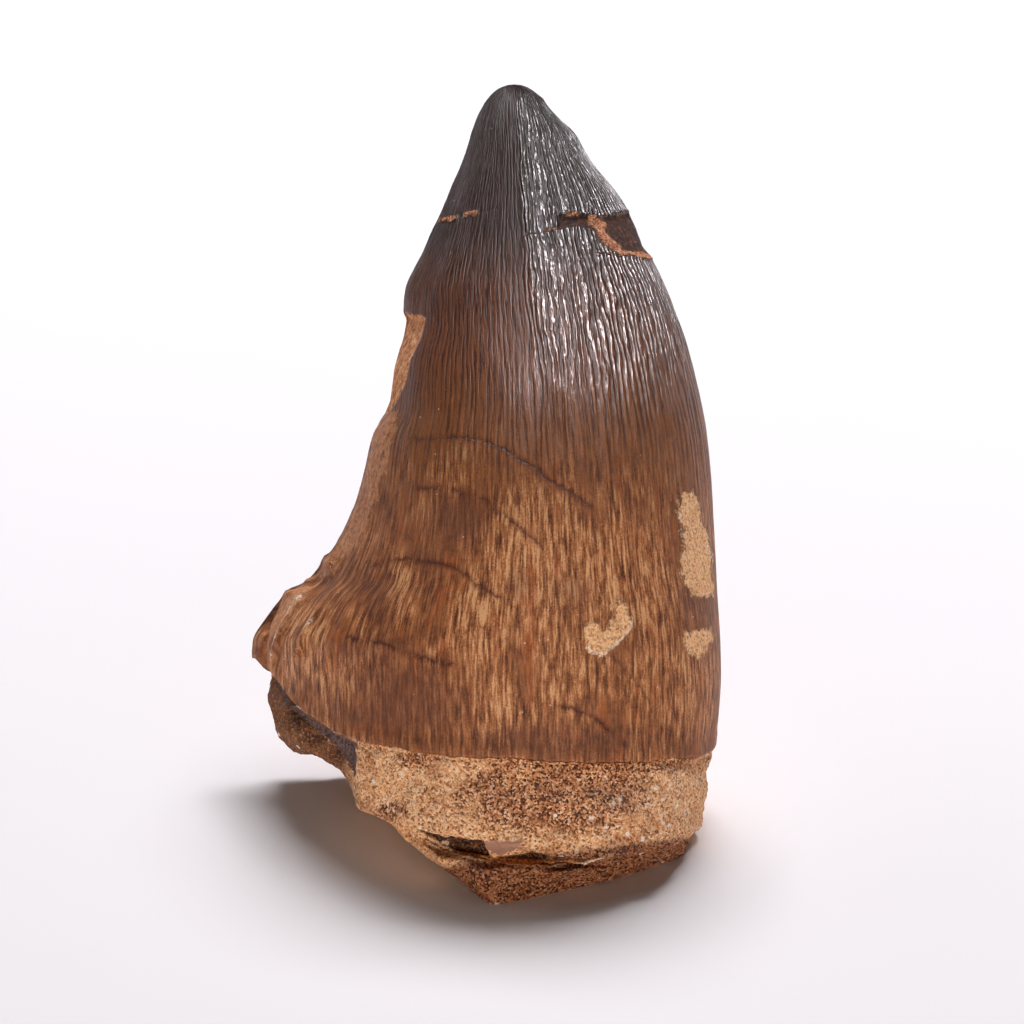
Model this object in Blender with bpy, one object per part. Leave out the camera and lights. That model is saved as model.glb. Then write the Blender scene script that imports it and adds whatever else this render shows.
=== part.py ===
"""A fossil mosasaur tooth, standing on the broken sandy rock that is still cemented to its base.

The tooth is one solid: a crown that flares out on its left, with a shallow pulp cavity underneath.
The rock is the other: it fills the cavity, shows as a band below the crown, and ends in a flat worn
patch that the fossil rests on. Under the flare it is broken away, apart from one lump.

Run with: blender --background --python part.py
"""

import math

import bmesh
import bpy
import numpy as np
from mathutils import Vector, noise

MM = 0.001

# The tooth leans back as it stands. Its shape is given in its own directions, in millimetres:
# u across it to the right, v along it to the tip, w out of the side that faces forwards.
# The origin of both is the middle of the rest face.
LEAN = math.radians(25.0)
TIP_V = 46.6
TIP_U = -3.7
TIP_W = -9.5

# Edges of the crown at distances below the tip: (distance, u) for the left and right edge,
# (distance, w) for the front and back surface along the crest, (distance, u) for the crest.
LEFT_EDGE = [
    (0.0, TIP_U), (0.43, -4.9), (1.04, -5.45), (2.3, -6.1), (4.7, -6.85), (7.9, -8.15), (10.8, -9.4),
    (13.2, -10.45), (15.4, -10.6), (18.1, -11.3), (20.6, -11.6), (22.4, -12.4), (25.5, -13.15),
    (28.2, -14.2), (30.0, -15.8), (31.5, -18.0), (33.4, -19.4), (35.0, -19.95), (37.0, -19.85),
]  # fmt: skip
RIGHT_EDGE = [
    (0.0, TIP_U), (0.43, -2.5), (1.04, -1.9), (2.3, -0.8), (3.1, 0.0), (4.9, 1.1), (7.9, 3.3), (10.8, 4.65),
    (13.2, 5.75), (15.7, 6.65), (18.1, 7.3), (21.8, 8.05), (25.5, 8.35), (31.5, 8.65), (36.5, 8.9),
    (38.9, 8.8), (41.5, 8.5),
]  # fmt: skip
FRONT = [
    (0.0, TIP_W), (0.5, -8.2), (1.1, -7.4), (2.4, -6.0), (4.7, -4.0), (7.9, -1.2), (13.2, 3.4),
    (18.1, 7.0), (21.5, 8.8), (25.0, 9.8), (29.0, 10.1), (36.0, 10.0), (41.5, 9.7),
]  # fmt: skip
BACK = [
    (0.0, TIP_W), (0.5, -10.4), (1.1, -10.9), (2.4, -11.3), (4.7, -11.5), (7.9, -11.4), (13.2, -11.0),
    (18.1, -10.6), (25.5, -10.0), (33.0, -9.6), (41.5, -9.2),
]  # fmt: skip
CREST = [(0.0, TIP_U), (4.7, -3.2), (10.0, -2.8), (20.0, -1.9), (30.0, -1.6), (41.5, -1.5)]

# How sharply the section closes at its two sides: 1 is an ellipse, 2 comes to an edge.
LEFT_SHARP = [(0.0, 1.0), (3.0, 1.25), (12.0, 1.4), (24.0, 1.45), (31.0, 1.75), (41.5, 1.75)]
RIGHT_SHARP = [(0.0, 1.0), (3.0, 1.2), (12.0, 1.3), (24.0, 1.15), (41.5, 1.0)]

# Where the crown ends: (degrees round the section, distance below the tip). 0 is the right edge,
# 90 the front, 180 the end of the flare and 270 the back.
BASE_EDGE = [
    (0, 40.9), (40, 41.6), (72, 41.7), (90, 41.6), (106, 41.4), (131, 40.5), (148, 38.5), (158, 37.0),
    (172, 35.9), (180, 35.8), (200, 36.8), (225, 38.1), (270, 37.3), (315, 38.9), (340, 40.3), (360, 40.9),
]  # fmt: skip

# The left of the tip's front is a flat facet that meets the rest at an edge: how flat it is.
FACET = [(0.0, 0.0), (1.5, 0.35), (5.0, 0.6), (9.5, 0.5), (14.0, 0.25), (20.0, 0.0), (41.5, 0.0)]
# How far the left edge is set back where the crown flares.
SETBACK = [(0.0, 0.0), (22.0, 0.0), (28.0, 1.6), (32.0, 4.6), (36.0, 6.2), (41.5, 6.6)]

WALL = 1.7  # thickness of the crown's wall round the pulp cavity
CAVITY_RISE = 4.0
CAVITY_RINGS = 5
GAP = 0.2  # left between the tooth and the rock that fills it
COLUMNS = 72
ROWS = 42
ROW_CROWDING = 1.5  # rings lie closer together towards the tip

# The rock, by degrees round the section as above. Its band ends at a lip: (degrees, u, v, w). The left
# side is broken off short of the flare.
BAND_LIP = [
    (0, 7.6, 0.7, 0.3), (30, 6.7, 0.3, 4.8), (60, 3.4, -0.5, 8.0), (75, 1.2, -0.9, 8.9),
    (90, -1.6, -0.6, 9.3), (100, -4.4, 0.2, 9.2), (110, -7.3, 0.4, 8.6), (121, -10.6, 1.0, 7.0),
    (131, -13.1, 1.9, 3.6), (150, -13.4, 2.2, 0.4), (180, -13.4, 2.8, -3.2), (205, -13.1, 3.7, -4.8),
    (230, -12.0, 4.7, -6.6), (250, -7.4, 5.5, -8.0), (270, -1.5, 5.9, -9.1), (300, 3.4, 5.0, -7.7),
    (330, 6.9, 3.0, -4.3), (360, 7.6, 0.7, 0.3),
]  # fmt: skip
# The outline of the rest face on the ground: (degrees, x, y).
FOOT = [
    (0, 7.0, 1.2), (30, 6.6, -2.2), (60, 4.0, -4.4), (75, 1.4, -6.0), (90, -1.1, -7.1), (100, -3.6, -8.2),
    (106, -4.9, -8.6), (115, -5.9, -7.6), (131, -7.1, -4.8), (150, -7.9, -1.5), (180, -8.3, 1.5),
    (205, -7.8, 4.0), (230, -6.5, 6.4), (250, -4.5, 7.9), (270, -1.0, 8.7), (300, 3.4, 7.7),
    (330, 6.0, 4.8), (360, 7.0, 1.2),
]  # fmt: skip
# The band's side down to the lip, then to the foot: shares of the way at which it has a ring.
BAND_SHARES = (0.04, 0.16, 0.34, 0.52, 0.7, 0.86, 1.0)
FOOT_SHARES = (0.1, 0.2, 0.33, 0.45, 0.7, 0.88, 1.0)
# Under the lip a recess runs along the front. How far it is cut in at each of the shares above, and
# how much of that there is, by degrees.
RECESS_CUT = (1.3, 1.7, 1.4, 0.0, 0.0, 0.0, 0.0)
RECESS_ALONG = [(0, 0.0), (52, 0.0), (74, 0.45), (88, 0.9), (116, 1.0), (132, 0.35), (146, 0.0), (360, 0.0)]
# The lump left under the flare: (u, v) of each of the band's rings at the middle of the lump, how much
# of it there is by degrees, how much thicker it is than the flare above it, and w of its top's middle.
LUMP_PATH = [(-18.7, 9.7), (-18.8, 8.1), (-18.5, 6.2), (-17.2, 5.1), (-15.5, 4.7), (-13.9, 4.3), (-13.4, 2.8)]
LUMP_ALONG = [(0, 0.0), (138, 0.0), (156, 0.85), (170, 1.0), (200, 1.0), (216, 0.5), (232, 0.0), (360, 0.0)]
LUMP_THICKER = 1.5
LUMP_LEVEL = -6.0
LUMP_CLEAR = 0.1
UNDER_FLARE = 0.9  # the rock stays this far inside the flare's outer surface

ROUGHNESS = 0.3  # how far the rock's broken surface wanders
ROUGHNESS_SIZE = 1.9


def smooth(points, at):
    """Reads a smooth curve through (position, value) points, which doesn't overshoot them."""
    x, y = np.array(points, float).T
    steep = np.diff(y) / np.diff(x)
    before, after = np.append(steep[:1], steep), np.append(steep, steep[-1:])
    turning = before * after <= 0
    slope = np.where(turning, 0.0, 2 * before * after / np.where(turning, 1.0, before + after))
    i = np.clip(np.searchsorted(x, at) - 1, 0, len(x) - 2)
    step = x[i + 1] - x[i]
    t = np.clip((at - x[i]) / step, 0, 1)
    near = (1 + 2 * t) * (1 - t) ** 2 * y[i] + t * (1 - t) ** 2 * step * slope[i]
    far = t * t * (3 - 2 * t) * y[i + 1] - t * t * (1 - t) * step * slope[i + 1]
    return near + far


def around(rows, degrees):
    """The same for rows of (degrees, value, ...) round the section, one result for each value."""
    before, after = rows[-2], rows[1]
    ring = [(before[0] - 360, *before[1:]), *rows, (after[0] + 360, *after[1:])]
    return [float(smooth([(row[0], row[k]) for row in ring], degrees)) for k in range(1, len(rows[0]))]


def below_tip(points, distance):
    """The same for a curve by distance below the tip. Its rounded tip is straight in the square root."""
    return smooth([(math.sqrt(d), value) for d, value in points], np.sqrt(distance))


def place(u, v, w):
    """World point, in metres, of a point given in the tooth's own directions."""
    y = v * math.sin(LEAN) - w * math.cos(LEAN)
    z = v * math.cos(LEAN) + w * math.sin(LEAN)
    return Vector((u, y, z)) * MM


def direction(u, v, w):
    return place(u, v, w).normalized()


def section(distance, turn):
    """(u, w) of the crown's outer surface, at a distance below the tip and an angle round it."""
    crest = below_tip(CREST, distance)
    left, right = below_tip(LEFT_EDGE, distance), below_tip(RIGHT_EDGE, distance)
    front, back = below_tip(FRONT, distance), below_tip(BACK, distance)
    across, through = math.cos(turn), math.sin(turn)
    side, sharp = (right, RIGHT_SHARP) if across > 0 else (left, LEFT_SHARP)
    middle = (front + back) / 2
    depth = math.copysign(abs(through) ** below_tip(sharp, distance), through)
    setback = 0.0
    if across < 0:
        setback = below_tip(SETBACK, distance) * abs(across) ** 3
        if through > 0:
            depth += (1 - abs(across) - depth) * below_tip(FACET, distance)
    return crest + abs(side - crest) * across, middle + depth * (front - back) / 2 - setback


def toward(point, centre, by):
    """The (u, w) point moved towards the centre by a length, at most most of the way."""
    along = np.subtract(centre, point)
    length = np.hypot(*along)
    return np.add(point, along * min(by / length, 0.8))


def ring_mesh(name, rings, first, last):
    """A closed mesh of rings of points, capped by a point at each end."""
    bm = bmesh.new()
    loops = [[bm.verts.new(p) for p in ring] for ring in rings]
    for upper, lower in zip(loops, loops[1:]):
        for i in range(len(upper)):
            bm.faces.new((upper[i - 1], upper[i], lower[i], lower[i - 1]))
    for end, ring, turned in ((first, loops[0], False), (last, loops[-1], True)):
        point = bm.verts.new(end)
        for i in range(len(ring)):
            pair = (ring[i], ring[i - 1]) if turned else (ring[i - 1], ring[i])
            bm.faces.new((point, pair[1], pair[0]))
    if bm.calc_volume(signed=True) < 0:
        bmesh.ops.reverse_faces(bm, faces=bm.faces)
    mesh = bpy.data.meshes.new(name)
    bm.to_mesh(mesh)
    bm.free()
    made = bpy.data.objects.new(name, mesh)
    bpy.context.scene.collection.objects.link(made)
    return made


def columns():
    """(angle, distance below the tip at which the crown ends) of each column."""
    turns = [2 * math.pi * i / COLUMNS for i in range(COLUMNS)]
    return [(turn, around(BASE_EDGE, math.degrees(turn))[0]) for turn in turns]


DEEPEST = max(end for _, end in BASE_EDGE)
CENTRE = (CREST[-1][1], (FRONT[-1][1] + BACK[-1][1]) / 2)


def cavity_rings(inset):
    """The cavity's ceiling from the wall inwards, as rings, kept clear of it by the inset."""
    rings = []
    for step in range(CAVITY_RINGS):
        share = step / CAVITY_RINGS
        ring = []
        for turn, end in columns():
            inner = toward(section(end, turn), CENTRE, WALL + inset)
            u, w = np.add(CENTRE, np.subtract(inner, CENTRE) * math.cos(math.pi / 2 * share))
            level = end + (DEEPEST - CAVITY_RISE - end) * share
            arch = CAVITY_RISE * math.sin(math.pi / 2 * share) * (1 - share)
            ring.append(place(u, TIP_V - level + arch - inset, w))
        rings.append(ring)
    return rings, place(CENTRE[0], TIP_V - DEEPEST + CAVITY_RISE - inset, CENTRE[1])


def make_tooth():
    rings = []
    for row in range(1, ROWS + 1):
        share = (row / ROWS) ** ROW_CROWDING
        rings.append([place(*across_tip(end * share, turn)) for turn, end in columns()])
    ceiling, top = cavity_rings(0.0)
    return ring_mesh("tooth", rings + ceiling, place(TIP_U, TIP_V, TIP_W), top)


def across_tip(distance, turn):
    """(u, v, w) of the crown's outer surface."""
    u, w = section(distance, turn)
    return u, TIP_V - distance, w


def rock_column(turn, end):
    """Points down the side of the rock at one angle, from under the crown's edge to the ground."""
    degrees = math.degrees(turn)
    (lump,) = around(LUMP_ALONG, degrees)
    edge = section(end, turn)
    edge = toward(edge, CENTRE, UNDER_FLARE * lump)
    start = np.array((edge[0], TIP_V - end - GAP, edge[1]))
    lip = np.array(around(BAND_LIP, degrees))
    points = [start]
    for share, (u, v) in zip(BAND_SHARES, LUMP_PATH):
        plain = start + (lip - start) * (share, share, share**1.6)
        plain[0] = max(plain[0], lip[0] - 0.15) if plain[0] < -13.0 else plain[0]
        below = min(v, start[1] - LUMP_CLEAR - share)
        level = LUMP_LEVEL * (1 - share)
        bulging = np.array((u, below, level + (plain[2] - level) * (1 + (LUMP_THICKER - 1) * min(3 * share, 1.0))))
        points.append(plain + (bulging - plain) * lump)
    points[-1] = lip
    down = [place(*point) / MM for point in points]
    foot = Vector([*around(FOOT, degrees), 0.0])
    inward = direction(CENTRE[0] - lip[0], 0, CENTRE[1] - lip[2])
    (recess,) = around(RECESS_ALONG, degrees)
    for share, cut in zip(FOOT_SHARES, RECESS_CUT):
        down.append(down[len(BAND_SHARES)].lerp(foot, share) + inward * cut * recess)
    return [point * MM for point in down]


def make_rock():
    """The rock from the top of its plug, round the crown's wall and down its broken side to the foot."""
    ceiling, top = cavity_rings(GAP)
    sides = list(zip(*(rock_column(turn, end) for turn, end in columns())))
    rough = []
    for number, ring in enumerate(sides):
        # The ring under the crown's edge keeps its gap, and the foot stays flat.
        much = ROUGHNESS * MM if 1 < number < len(sides) - 1 else 0.0
        rough.append([p + noise.noise_vector(p / (ROUGHNESS_SIZE * MM)) * much for p in ring])
    return ring_mesh("matrix", ceiling[::-1] + rough, top, Vector((-0.5, 0.0, 0.0)) * MM)


def finish_with(obj, colour, roughness):
    """A plain material, and smooth shading that keeps the broken edges sharp."""
    material = bpy.data.materials.new(obj.name)
    material.use_nodes = True
    shader = material.node_tree.nodes["Principled BSDF"]
    shader.inputs["Base Color"].default_value = (*colour, 1.0)
    shader.inputs["Roughness"].default_value = roughness
    shader.inputs["Metallic"].default_value = 0.0
    obj.data.materials.clear()
    obj.data.materials.append(material)
    obj.data.shade_smooth()
    obj.data.set_sharp_from_angle(angle=math.radians(40))


def main():
    for old in list(bpy.data.objects):
        bpy.data.objects.remove(old)
    finish_with(make_tooth(), colour=(0.13, 0.055, 0.025), roughness=0.4)
    finish_with(make_rock(), colour=(0.42, 0.24, 0.11), roughness=0.95)


main()
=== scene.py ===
"""A fossil mosasaur tooth on its rock, under one large soft light, seen from a little above.

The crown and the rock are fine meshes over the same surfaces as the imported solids. What the surface
carries is given where the camera sees it, in pixels of its 1024 x 1024 picture.
"""

import itertools
import math

import bpy
import numpy as np
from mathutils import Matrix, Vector, noise


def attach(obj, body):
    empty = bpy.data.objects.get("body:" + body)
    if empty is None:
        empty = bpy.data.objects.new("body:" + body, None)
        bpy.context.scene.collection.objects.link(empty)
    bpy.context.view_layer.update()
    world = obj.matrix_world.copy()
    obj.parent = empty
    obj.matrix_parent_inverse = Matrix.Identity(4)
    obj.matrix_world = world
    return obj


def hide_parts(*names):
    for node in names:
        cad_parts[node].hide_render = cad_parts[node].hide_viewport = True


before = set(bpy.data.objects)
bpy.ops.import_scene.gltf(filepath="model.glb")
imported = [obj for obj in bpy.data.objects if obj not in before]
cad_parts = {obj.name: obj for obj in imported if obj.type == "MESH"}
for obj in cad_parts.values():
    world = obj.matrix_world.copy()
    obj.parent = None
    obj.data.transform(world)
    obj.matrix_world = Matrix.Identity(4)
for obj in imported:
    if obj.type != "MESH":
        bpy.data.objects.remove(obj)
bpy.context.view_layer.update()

MM = 0.001

# The tooth's own directions, in millimetres from the middle of the rest face: u across it to the
# right, v along it to the tip, w out of the side that faces the camera. The camera looks along w.
LEAN = math.radians(25.0)
TIP_V, TIP_U, TIP_W = 46.6, -3.7, -9.5

# The camera: millimetres of the tooth's plane per pixel, and the pixel where the origin is.
PIXEL = 62.5 / 1024
ORIGIN_X, ORIGIN_Y = 575.0, 836.0
LENS = 200.0
SENSOR = 36.0
DISTANCE = LENS / SENSOR * 62.5

# The crown and the rock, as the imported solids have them.
LEFT_EDGE = [
    (0.0, TIP_U), (0.43, -4.9), (1.04, -5.45), (2.3, -6.1), (4.7, -6.85), (7.9, -8.15), (10.8, -9.4),
    (13.2, -10.45), (15.4, -10.6), (18.1, -11.3), (20.6, -11.6), (22.4, -12.4), (25.5, -13.15),
    (28.2, -14.2), (29.2, -14.8), (30.2, -15.6), (31.1, -16.4), (31.9, -17.6), (33.4, -19.0), (35.0, -19.9),
    (37.0, -19.85),
]  # fmt: skip
RIGHT_EDGE = [
    (0.0, TIP_U), (0.43, -2.5), (1.04, -1.9), (2.3, -0.8), (3.1, 0.0), (4.9, 1.1), (7.9, 3.3), (10.8, 4.65),
    (13.2, 5.75), (15.7, 6.65), (18.1, 7.3), (21.8, 8.05), (25.5, 8.35), (31.5, 8.65), (36.5, 8.9),
    (38.9, 8.8), (41.5, 8.5),
]  # fmt: skip
FRONT = [
    (0.0, TIP_W), (0.5, -8.2), (1.1, -7.4), (2.4, -6.0), (4.7, -4.0), (7.9, -1.2), (13.2, 3.4),
    (18.1, 7.0), (21.5, 8.8), (25.0, 9.8), (29.0, 10.1), (36.0, 10.0), (41.5, 9.7),
]  # fmt: skip
BACK = [
    (0.0, TIP_W), (0.5, -10.4), (1.1, -10.9), (2.4, -11.3), (4.7, -11.5), (7.9, -11.4), (13.2, -11.0),
    (18.1, -10.6), (25.5, -10.0), (33.0, -9.6), (41.5, -9.2),
]  # fmt: skip
CREST = [(0.0, TIP_U), (4.7, -3.2), (10.0, -2.8), (20.0, -1.9), (30.0, -1.6), (41.5, -1.5)]
LEFT_SHARP = [(0.0, 1.0), (3.0, 1.25), (12.0, 1.4), (24.0, 1.45), (31.0, 1.75), (41.5, 1.75)]
RIGHT_SHARP = [(0.0, 1.0), (3.0, 1.2), (12.0, 1.3), (24.0, 1.15), (41.5, 1.0)]
BASE_EDGE = [
    (0, 40.9), (40, 41.6), (72, 41.7), (90, 41.6), (106, 41.4), (131, 40.5), (148, 38.5), (158, 37.0),
    (172, 35.9), (180, 35.8), (200, 36.8), (225, 38.1), (270, 37.3), (315, 38.9), (340, 40.3), (360, 40.9),
]  # fmt: skip
FACET = [(0.0, 0.0), (1.5, 0.35), (5.0, 0.6), (9.5, 0.5), (14.0, 0.25), (20.0, 0.0), (41.5, 0.0)]
SETBACK = [(0.0, 0.0), (22.0, 0.0), (28.0, 1.6), (32.0, 4.6), (36.0, 6.2), (41.5, 6.6)]
WALL = 1.7
CAVITY_RISE = 4.0
BAND_LIP = [
    (0, 7.6, 0.7, 0.3), (30, 6.7, 0.3, 4.8), (60, 3.4, -0.5, 8.0), (75, 1.2, -0.9, 8.9),
    (90, -1.6, -0.6, 9.3), (100, -4.4, 0.2, 9.2), (110, -7.3, 0.4, 8.6), (121, -10.6, 1.0, 7.0),
    (131, -13.1, 1.9, 3.6), (150, -13.4, 2.2, 0.4), (180, -13.4, 2.8, -3.2), (205, -13.1, 3.7, -4.8),
    (230, -12.0, 4.7, -6.6), (250, -7.4, 5.5, -8.0), (270, -1.5, 5.9, -9.1), (300, 3.4, 5.0, -7.7),
    (330, 6.9, 3.0, -4.3), (360, 7.6, 0.7, 0.3),
]  # fmt: skip
FOOT = [
    (0, 7.0, 1.2), (30, 6.6, -2.2), (60, 4.0, -4.4), (75, 1.4, -6.0), (90, -1.1, -7.1), (100, -3.6, -8.2),
    (106, -4.9, -8.6), (115, -5.9, -7.6), (131, -7.1, -4.8), (150, -7.9, -1.5), (180, -8.3, 1.5),
    (205, -7.8, 4.0), (230, -6.5, 6.4), (250, -4.5, 7.9), (270, -1.0, 8.7), (300, 3.4, 7.7),
    (330, 6.0, 4.8), (360, 7.0, 1.2),
]  # fmt: skip
BAND_SHARES = (0.04, 0.16, 0.34, 0.52, 0.7, 0.86, 1.0)
FOOT_SHARES = (0.1, 0.2, 0.33, 0.45, 0.7, 0.88, 1.0)
RECESS_CUT = (1.3, 1.7, 1.4, 0.0, 0.0, 0.0, 0.0)
RECESS_ALONG = [(0, 0.0), (52, 0.0), (74, 0.45), (88, 0.9), (116, 1.0), (132, 0.35), (146, 0.0), (360, 0.0)]
LUMP_PATH = [(-18.7, 9.7), (-18.8, 8.1), (-18.5, 6.2), (-17.2, 5.1), (-15.5, 4.7), (-13.9, 4.3), (-13.4, 2.8)]
LUMP_ALONG = [(0, 0.0), (138, 0.0), (156, 0.85), (170, 1.0), (200, 1.0), (216, 0.5), (232, 0.0), (360, 0.0)]
LUMP_THICKER = 1.5
LUMP_LEVEL = -6.0
LUMP_CLEAR = 0.1
UNDER_FLARE = 0.9
ROUGHNESS, ROUGHNESS_SIZE = 0.3, 1.9

# The fine meshes.
CROWN_COLUMNS = (100, 150, 100)  # front right, front left, back
CROWN_ROWS = 270
ROCK_COLUMNS = (130, 170, 130)
ROCK_ROWS_BETWEEN = 8
SEAM = 0.05  # the rock's gap under the crown, closer than the solids'
ROCK_INSET = 0.15  # the enamel's edge stands out over the rock

# What shows on the crown, in pixels. Lines run so that neighbouring ones are turned opposite ways.
CRACKS = [
    ([(440, 220), (456, 217), (475, 213), (500, 208)], 0.6),
    ([(518, 234), (524, 233), (540, 231.5), (558, 228), (566, 224), (592, 226)], 1.0),
    ([(598, 512), (572, 493), (550, 480), (535, 468), (515, 455), (494, 446), (480, 440), (455, 438), (430, 440), (402, 438)], 0.9),
    ([(404, 486), (420, 488), (445, 488), (470, 495), (486, 500), (498, 512), (515, 523), (530, 536), (548, 550)], 0.8),
    ([(507, 600), (485, 590), (470, 578), (455, 568), (435, 562), (413, 559), (390, 559), (374, 566), (362, 560)], 0.9),
    ([(343, 637), (362, 640), (380, 642), (400, 650), (420, 657), (440, 663), (458, 666)], 1.0),
    ([(556, 705), (575, 709), (592, 716), (610, 731), (628, 748)], 1.0),
]  # fmt: skip
HAIRLINES = [
    ([(610, 652), (622, 665), (630, 675), (640, 687), (652, 706)], 1.0),
    ([(636, 660), (636, 640), (637, 619), (635, 597), (634, 577), (630, 569)], 0.7),
    ([(630, 569), (644, 578), (651, 586), (661, 595), (669, 612)], 0.6),
]  # fmt: skip
CHIP = [(559, 214.5), (575, 214), (596, 217), (612, 215), (634, 211), (648, 235), (660, 257), (650, 257.5),
        (622, 251.5), (611, 248.5), (602, 242), (593, 228), (575, 223), (560, 227)]  # fmt: skip
CRUST = [
    [(272, 640), (266, 630), (274, 610), (282, 590), (300, 582), (309, 589), (298, 612), (286, 630)],
    [(386, 414), (399, 412), (393, 440), (386, 470), (377, 500), (367, 530), (353, 553), (341, 560), (334, 574),
     (320, 578), (322, 560), (345, 530), (358, 500), (368, 460), (372, 430)],
]  # fmt: skip
SIDE_CHIP = [(380, 318), (404, 313), (425, 317), (420, 338), (410, 358), (405, 380), (395, 402), (386, 414), (370, 414)]
RUBBLE = [
    ([(594, 219), (604, 222), (602, 231), (609, 239), (620, 246)], 5.0),
    ([(620, 252), (634, 253), (650, 255.5)], 4.2),
    ([(556, 214), (575, 213.5), (597, 216.5), (634, 210.5)], 1.0),
    ([(596, 254), (609, 254)], 1.6),
    ([(441, 220), (456, 218)], 2.4),
    ([(466, 215), (476, 212)], 2.2),
    ([(526, 234), (545, 231.5), (562, 228), (578, 223)], 1.1),
    ([(335, 557), (332, 566), (330, 577)], 1.3),
    ([(307, 630), (301, 648), (296, 660)], 1.0),
]  # fmt: skip
SAND = [
    [(584, 622), (596, 622), (602, 629), (612, 620), (613, 603), (620, 598), (626, 606), (632, 618), (632, 628),
     (622, 638), (612, 648), (601, 655), (590, 652), (585, 642), (583, 632)],
    [(678, 498), (685, 491), (693, 490), (699, 505), (703, 523), (709, 540), (711.5, 557), (711, 574), (714, 591),
     (713, 598), (692, 598), (686, 589), (682, 577), (679, 560), (682, 543), (681, 526), (676, 512)],
    [(678, 630), (690, 633), (700, 629), (711, 627), (713, 640), (708, 650), (700, 658), (690, 655), (682, 645)],
]  # fmt: skip
WHITE_EDGES = [
    ([(586, 646), (592, 652), (601, 655), (612, 648), (620, 640), (630, 629), (631, 619)], 1.3),
    ([(678, 512), (681, 525), (682, 538)], 0.8),
    ([(704, 534), (709, 540)], 0.8),
    ([(706, 544), (710, 551), (712, 561)], 0.8),
    ([(701, 594), (708, 593), (714, 598)], 0.8),
    ([(303, 597), (288, 615), (278, 632), (271, 650), (270, 660)], 0.7),
    ([(316, 619), (310, 627)], 1.3),
    ([(284, 697), (291, 701), (313, 720), (331, 730), (358, 745)], 0.7),
]  # fmt: skip
# Raised lines, the last two numbers their half width and height in millimetres.
WELTS = [
    ([(315, 572), (303, 592), (285, 625), (270, 658)], 3.0, 0.30),
    ([(322, 604), (313, 621), (304, 641), (293, 662)], 2.2, 0.24),
    ([(352, 600), (335, 640), (322, 676)], 3.0, 0.14),
]  # fmt: skip
GROOVES = [
    ([(281, 596), (268, 622), (262, 645), (264, 668), (273, 682)], 2.2, 0.28),
    ([(299, 600), (282, 634), (274, 668)], 2.5, 0.14),
    ([(546, 100), (549, 108), (556, 114)], 2.6, 0.12),
]  # fmt: skip
KNOBS = [(330, 563, 6, 0.28), (290, 596, 8, 0.2), (541, 99, 6, 0.1)]  # (x, y, half width, height)
# The same on the rock.
# Painted shade: the hollow under the ledge is carved and also painted dark.
SHADED_HOLLOW = [(416, 829), (430, 833), (442, 838), (455, 838), (484, 843), (486, 851), (492, 857), (534, 853), (545, 857),
          (580, 859), (594, 859), (580, 861), (556, 861), (530, 859), (500, 858), (478, 854), (458, 851), (440, 845)]  # fmt: skip
WEDGE = [(482, 841), (523, 841), (514, 848), (501, 856), (492, 851)]
AMBER = [(462, 853), (486, 856), (500, 858), (530, 860), (556, 862), (580, 861), (568, 865), (548, 866), (520, 864), (488, 861)]
INNER_WALL = [(275, 681), (290, 700), (318, 723), (340, 735), (357, 743), (358, 778), (348, 762), (332, 742), (304, 720), (284, 703)]
RIMS = [
    ([(411, 832), (430, 843), (447, 852), (463, 857), (485, 861), (501, 863), (523, 866), (550, 867), (577, 863), (604, 858)], 0.6),
    ([(439, 843), (446, 845)], 1.0),
    ([(352, 741), (357, 748), (357, 776)], 0.9),
    ([(322, 733), (330, 741)], 1.0),
]  # fmt: skip
# Darker rock: real dark grains, and painted shade in a thin strip under the enamel's edge.
DARK_ROCK_AND_EDGE_SHADE = [(560, 790, 86, 42, 1.0), (600, 762, 110, 12, 0.9), (420, 760, 20, 9, 0.8), (460, 800, 7, 20, 0.6), (388, 813, 18, 9, 0.8)]
# Painted shade on the lump, darkest at its top under the flare's edge; the same spots are pressed in too.
LUMP_SHADE = [(297, 713, 8, 13, 1.0), (312, 738, 12, 6, 0.7), (338, 752, 7, 10, 0.7)]
WHITE_ROCK = [(668, 812, 38, 36, 1.0), (650, 840, 30, 12, 1.0)]
# Soft patches: (x, y, half width, half height, strength).
PALE = [
    (402, 590, 14, 30, 0.7), (478, 630, 26, 52, 0.8), (528, 560, 34, 70, 0.7), (500, 690, 16, 30, 0.7), (560, 660, 30, 60, 0.5),
    (600, 560, 30, 60, 0.5), (650, 620, 22, 90, 0.5), (560, 520, 26, 40, 0.5), (430, 520, 18, 26, 0.3), (345, 680, 26, 26, 0.5), (310, 640, 24, 44, 0.55),
    (690, 700, 22, 40, 0.4), (460, 470, 24, 22, 0.45), (540, 610, 36, 22, 0.5),
]  # fmt: skip
DULL = [
    (455, 520, 30, 22, 0.9), (380, 600, 16, 26, 0.5), (400, 700, 60, 34, 0.8), (380, 655, 40, 18, 0.5), (560, 740, 90, 14, 0.5),
    (520, 585, 14, 14, 0.5), (570, 590, 22, 12, 0.5), (430, 560, 20, 10, 0.4), (690, 600, 12, 14, 0.7),
]  # fmt: skip
# Painted sheen: a grey-blue reflection painted along the crown's left edges, as (line, half width, strength).
PAINTED_SHEEN = [
    ([(474, 118), (466, 160), (456, 200)], 8.0, 0.7),
    ([(446, 245), (432, 290), (418, 340), (408, 400), (398, 450)], 6.0, 0.5),
]  # fmt: skip


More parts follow.
